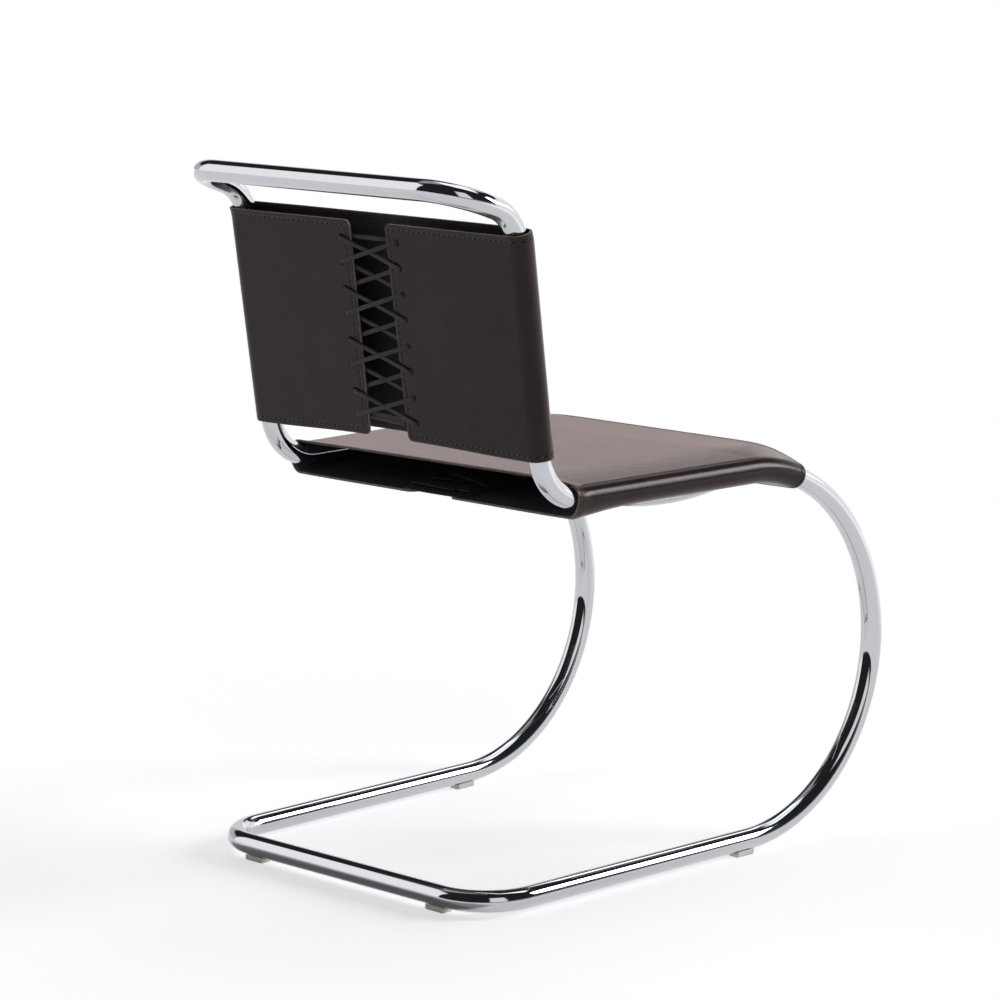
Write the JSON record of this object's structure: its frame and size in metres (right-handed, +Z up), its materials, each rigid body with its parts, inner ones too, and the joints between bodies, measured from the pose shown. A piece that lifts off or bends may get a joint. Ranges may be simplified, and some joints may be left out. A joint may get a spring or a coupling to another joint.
{
  "type": "cantilever chair",
  "caption": "Cantilever side chair: bent steel tube that springs from a floor loop, with laced leather slings for the seat and the back.",
  "frame": {"origin": "on the floor, under the middle of the chair's bounding box", "axes": "+Z up, the sitter faces -Y, +X to the sitter's left, the chair is alike on both sides of X = 0"},
  "size_m": [0.4978, 0.7049, 0.8165],
  "materials": {
    "chrome_tube": "mirror polished chrome plate",
    "plated_steel": "bright zinc plate",
    "sling_leather": "smooth dark brown saddle leather, satin",
    "sling_lining": "black lining leather, matt",
    "lace_leather": "dark leather thong, satin",
    "floor_pad": "pale translucent plastic"
  },
  "bodies": {
    "root": {"lower_frame_tube": "chrome_tube", "upper_frame_tube": "chrome_tube", "front_stretcher": "chrome_tube", "left_joint_sleeve": "plated_steel", "right_joint_sleeve": "plated_steel", "left_joint_screw_front": "plated_steel", "left_joint_screw_rear": "plated_steel", "right_joint_screw_front": "plated_steel", "right_joint_screw_rear": "plated_steel", "left_stretcher_screw": "plated_steel", "right_stretcher_screw": "plated_steel", "rear_left_pad": "floor_pad", "runner_left_pad": "floor_pad", "rear_right_pad": "floor_pad", "runner_right_pad": "floor_pad", "rear_left_pad_screw": "plated_steel", "runner_left_pad_screw": "plated_steel", "rear_right_pad_screw": "plated_steel", "runner_right_pad_screw": "plated_steel", "back_sling_leather": "sling_leather", "back_sling_lining": "sling_lining", "back_lace": "lace_leather", "seat_sling_leather": "sling_leather", "seat_sling_lining": "sling_lining", "seat_lace": "lace_leather"}
  },
  "joints": []
}
